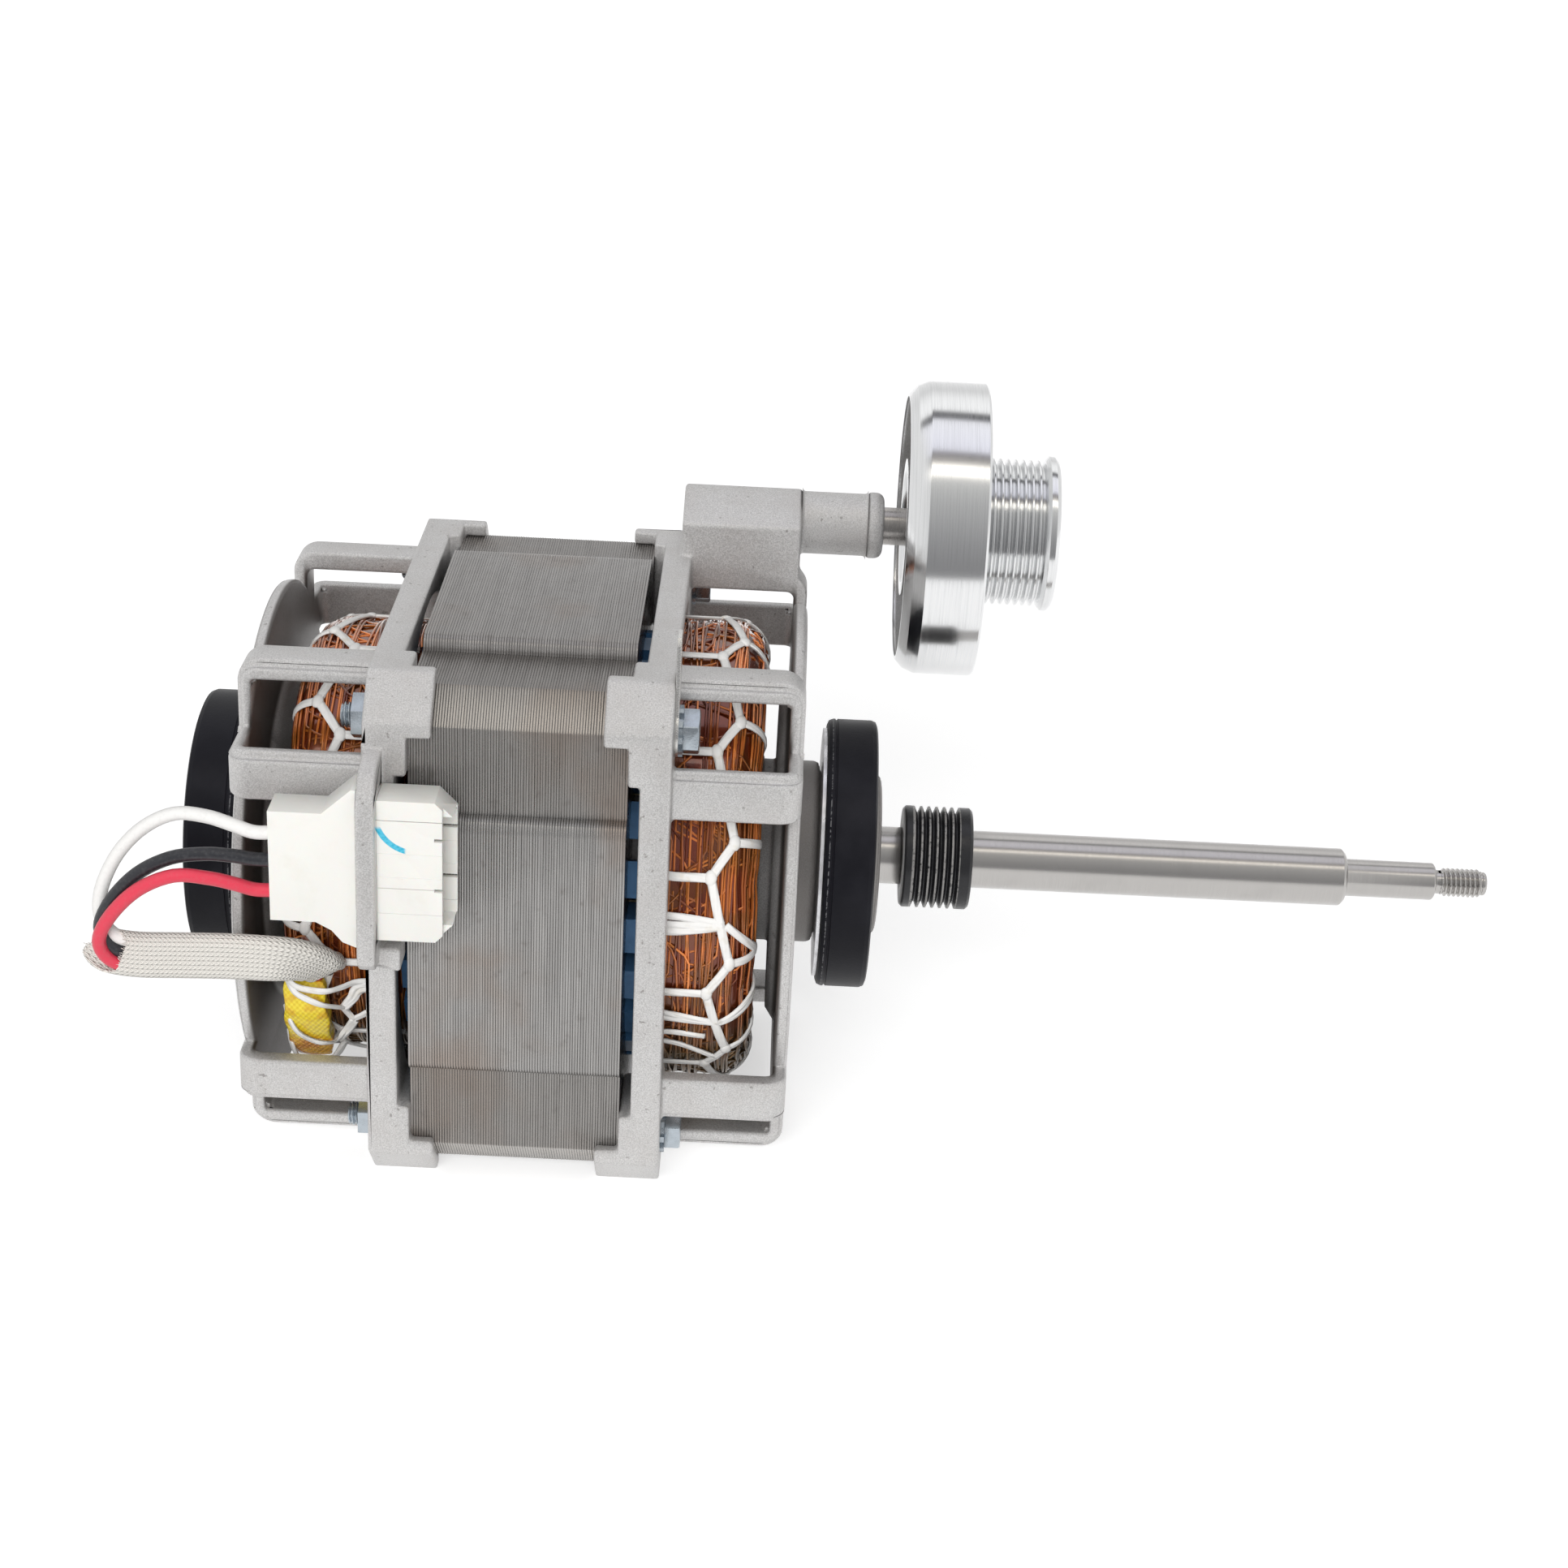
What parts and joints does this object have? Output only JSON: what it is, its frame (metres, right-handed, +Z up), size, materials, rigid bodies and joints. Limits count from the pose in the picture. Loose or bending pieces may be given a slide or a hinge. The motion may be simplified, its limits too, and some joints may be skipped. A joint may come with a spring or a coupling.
{
  "type": "dryer motor",
  "caption": "Open-frame tumble dryer motor with a long fan shaft, rubber mounting rings, a shaft pulley, a belt wheel on a fixed axle, and a connector on short leads.",
  "frame": {"origin": "centre of the front rubber ring, on the shaft's axis", "axes": "+X along the motor shaft to its long threaded end, +Y away from the connector, +Z up towards the belt wheel"},
  "size_m": [0.2832, 0.1375, 0.144],
  "materials": {
    "lamination_steel": "stacked steel sheet with fine edge lines and a brown tint",
    "liner_film": "thin blue insulating film",
    "wedge_paper": "pale pressed insulating strip",
    "varnished_copper": "enamelled copper wire under amber varnish",
    "lacing_cord": "flat white cord, stiff with varnish",
    "yellow_sleeve": "yellow woven sleeve with amber tape",
    "cast_aluminium": "blasted light grey casting with soft edges",
    "zinc_steel": "bright zinc plate",
    "black_rubber": "satin black moulded rubber",
    "bearing_steel": "ground bearing steel",
    "spring_steel": "spring steel",
    "cage_aluminium": "die-cast aluminium",
    "ground_steel": "satin ground steel",
    "black_pulley": "black oxide with bright edges",
    "turned_aluminium": "bright turned aluminium with fine lathe lines",
    "white_nylon": "moulded white nylon",
    "tinned_brass": "stamped brass",
    "white_insulation": "white silicone insulation",
    "black_insulation": "black silicone insulation",
    "red_insulation": "pinkish red silicone insulation",
    "glass_braid": "cream braided glass fibre"
  },
  "bodies": {
    "stator": {"stator_core": "lamination_steel", "slot_liners": "liner_film", "slot_wedges": "wedge_paper", "winding_core": "varnished_copper", "rear_turns": "varnished_copper", "front_turns": "varnished_copper", "rear_lacing": "lacing_cord", "front_lacing": "lacing_cord", "thermal_protector": "yellow_sleeve", "rear_shield": "cast_aluminium", "front_shield": "cast_aluminium", "through_bolts": "zinc_steel", "flange_nuts": "zinc_steel", "toothed_washers": "zinc_steel", "earth_tab": "zinc_steel", "rear_ring": "black_rubber", "front_ring": "black_rubber", "rear_ring_plate": "zinc_steel", "front_ring_plate": "zinc_steel", "rear_bearing_outer": "bearing_steel", "rear_bearing_balls": "bearing_steel", "front_bearing_outer": "bearing_steel", "front_bearing_balls": "bearing_steel", "wave_washer": "spring_steel", "wheel_axle": "ground_steel", "wheel_bearing_balls": "bearing_steel", "wheel_bearing_inner": "bearing_steel", "wheel_spacer": "ground_steel", "wheel_clip": "spring_steel", "connector_housing": "white_nylon", "connector_terminals": "tinned_brass", "lead_white": "white_insulation", "lead_black": "black_insulation", "lead_red": "red_insulation", "lead_sleeve": "glass_braid"},
    "rotor": {"rotor_core": "lamination_steel", "rotor_cage": "cage_aluminium", "rotor_shaft": "ground_steel", "motor_pulley": "black_pulley", "rear_bearing_inner": "bearing_steel", "front_bearing_inner": "bearing_steel"},
    "wheel": {"belt_wheel": "turned_aluminium", "wheel_bearing_outer": "bearing_steel"}
  },
  "joints": [
    {"name": "rotor_spin", "type": "hinge", "parent": "stator", "child": "rotor", "pos_m": [0, 0, 0], "axis": [1, 0, 0], "continuous": true},
    {"name": "wheel_spin", "type": "hinge", "parent": "stator", "child": "wheel", "pos_m": [0, 0.04, 0.059], "axis": [1, 0, 0], "continuous": true}
  ]
}
